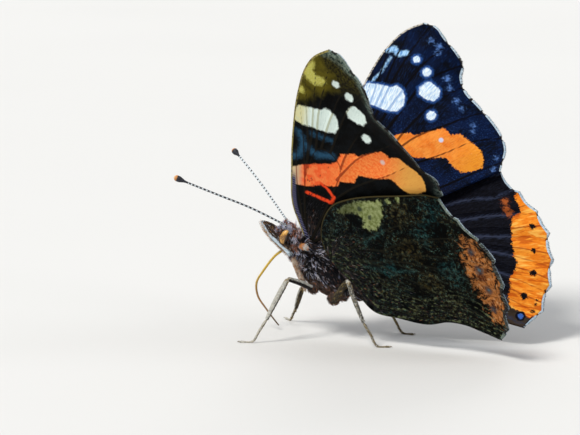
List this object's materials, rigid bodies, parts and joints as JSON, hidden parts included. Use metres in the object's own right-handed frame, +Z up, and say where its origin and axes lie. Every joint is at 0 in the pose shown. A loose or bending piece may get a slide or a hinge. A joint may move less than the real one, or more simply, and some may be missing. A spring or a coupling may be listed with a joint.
{
  "type": "red admiral butterfly figure",
  "caption": "Life-size still model of a red admiral butterfly standing with its wings half raised, dark wings with orange-red bands and white spots.",
  "frame": {"origin": "on the floor under the middle of the bounding box", "axes": "+Z up, the head faces -Y, the insect's left side is +X"},
  "size_m": [0.0322, 0.0444, 0.0382],
  "materials": {
    "forewing": "matt velvety black scales with white spots and an orange-red band, the underside browner towards the tip",
    "hindwing": "black-brown above with an orange border, marbled dark brown and grey-green below",
    "body_hair": "soft grey-brown to black hair and scales",
    "foreleg_hair": "short orange-brown hair",
    "eye": "glossy golden brown with fine facets",
    "antenna": "black with pale rings, white tip",
    "palp": "pale bluish scales with brown bristles",
    "proboscis": "smooth yellow-brown",
    "leg": "pale yellow-brown with fine spines"
  },
  "bodies": {
    "root": {"head": "body_hair", "thorax": "body_hair", "eye_left": "eye", "tegula_left": "body_hair", "forewing_left": "forewing", "hindwing_left": "hindwing", "eye_right": "eye", "tegula_right": "body_hair", "forewing_right": "forewing", "hindwing_right": "hindwing", "abdomen": "body_hair", "palp_left": "palp", "foreleg_left": "foreleg_hair", "palp_right": "palp", "foreleg_right": "foreleg_hair", "proboscis": "proboscis", "antenna_left": "antenna", "antenna_right": "antenna", "midleg_left_femur": "leg", "midleg_left_tibia": "leg", "midleg_left_tarsus": "leg", "midleg_right_femur": "leg", "midleg_right_tibia": "leg", "midleg_right_tarsus": "leg", "hindleg_left_femur": "leg", "hindleg_left_tibia": "leg", "hindleg_left_tarsus": "leg", "hindleg_right_femur": "leg", "hindleg_right_tibia": "leg", "hindleg_right_tarsus": "leg"}
  },
  "joints": []
}
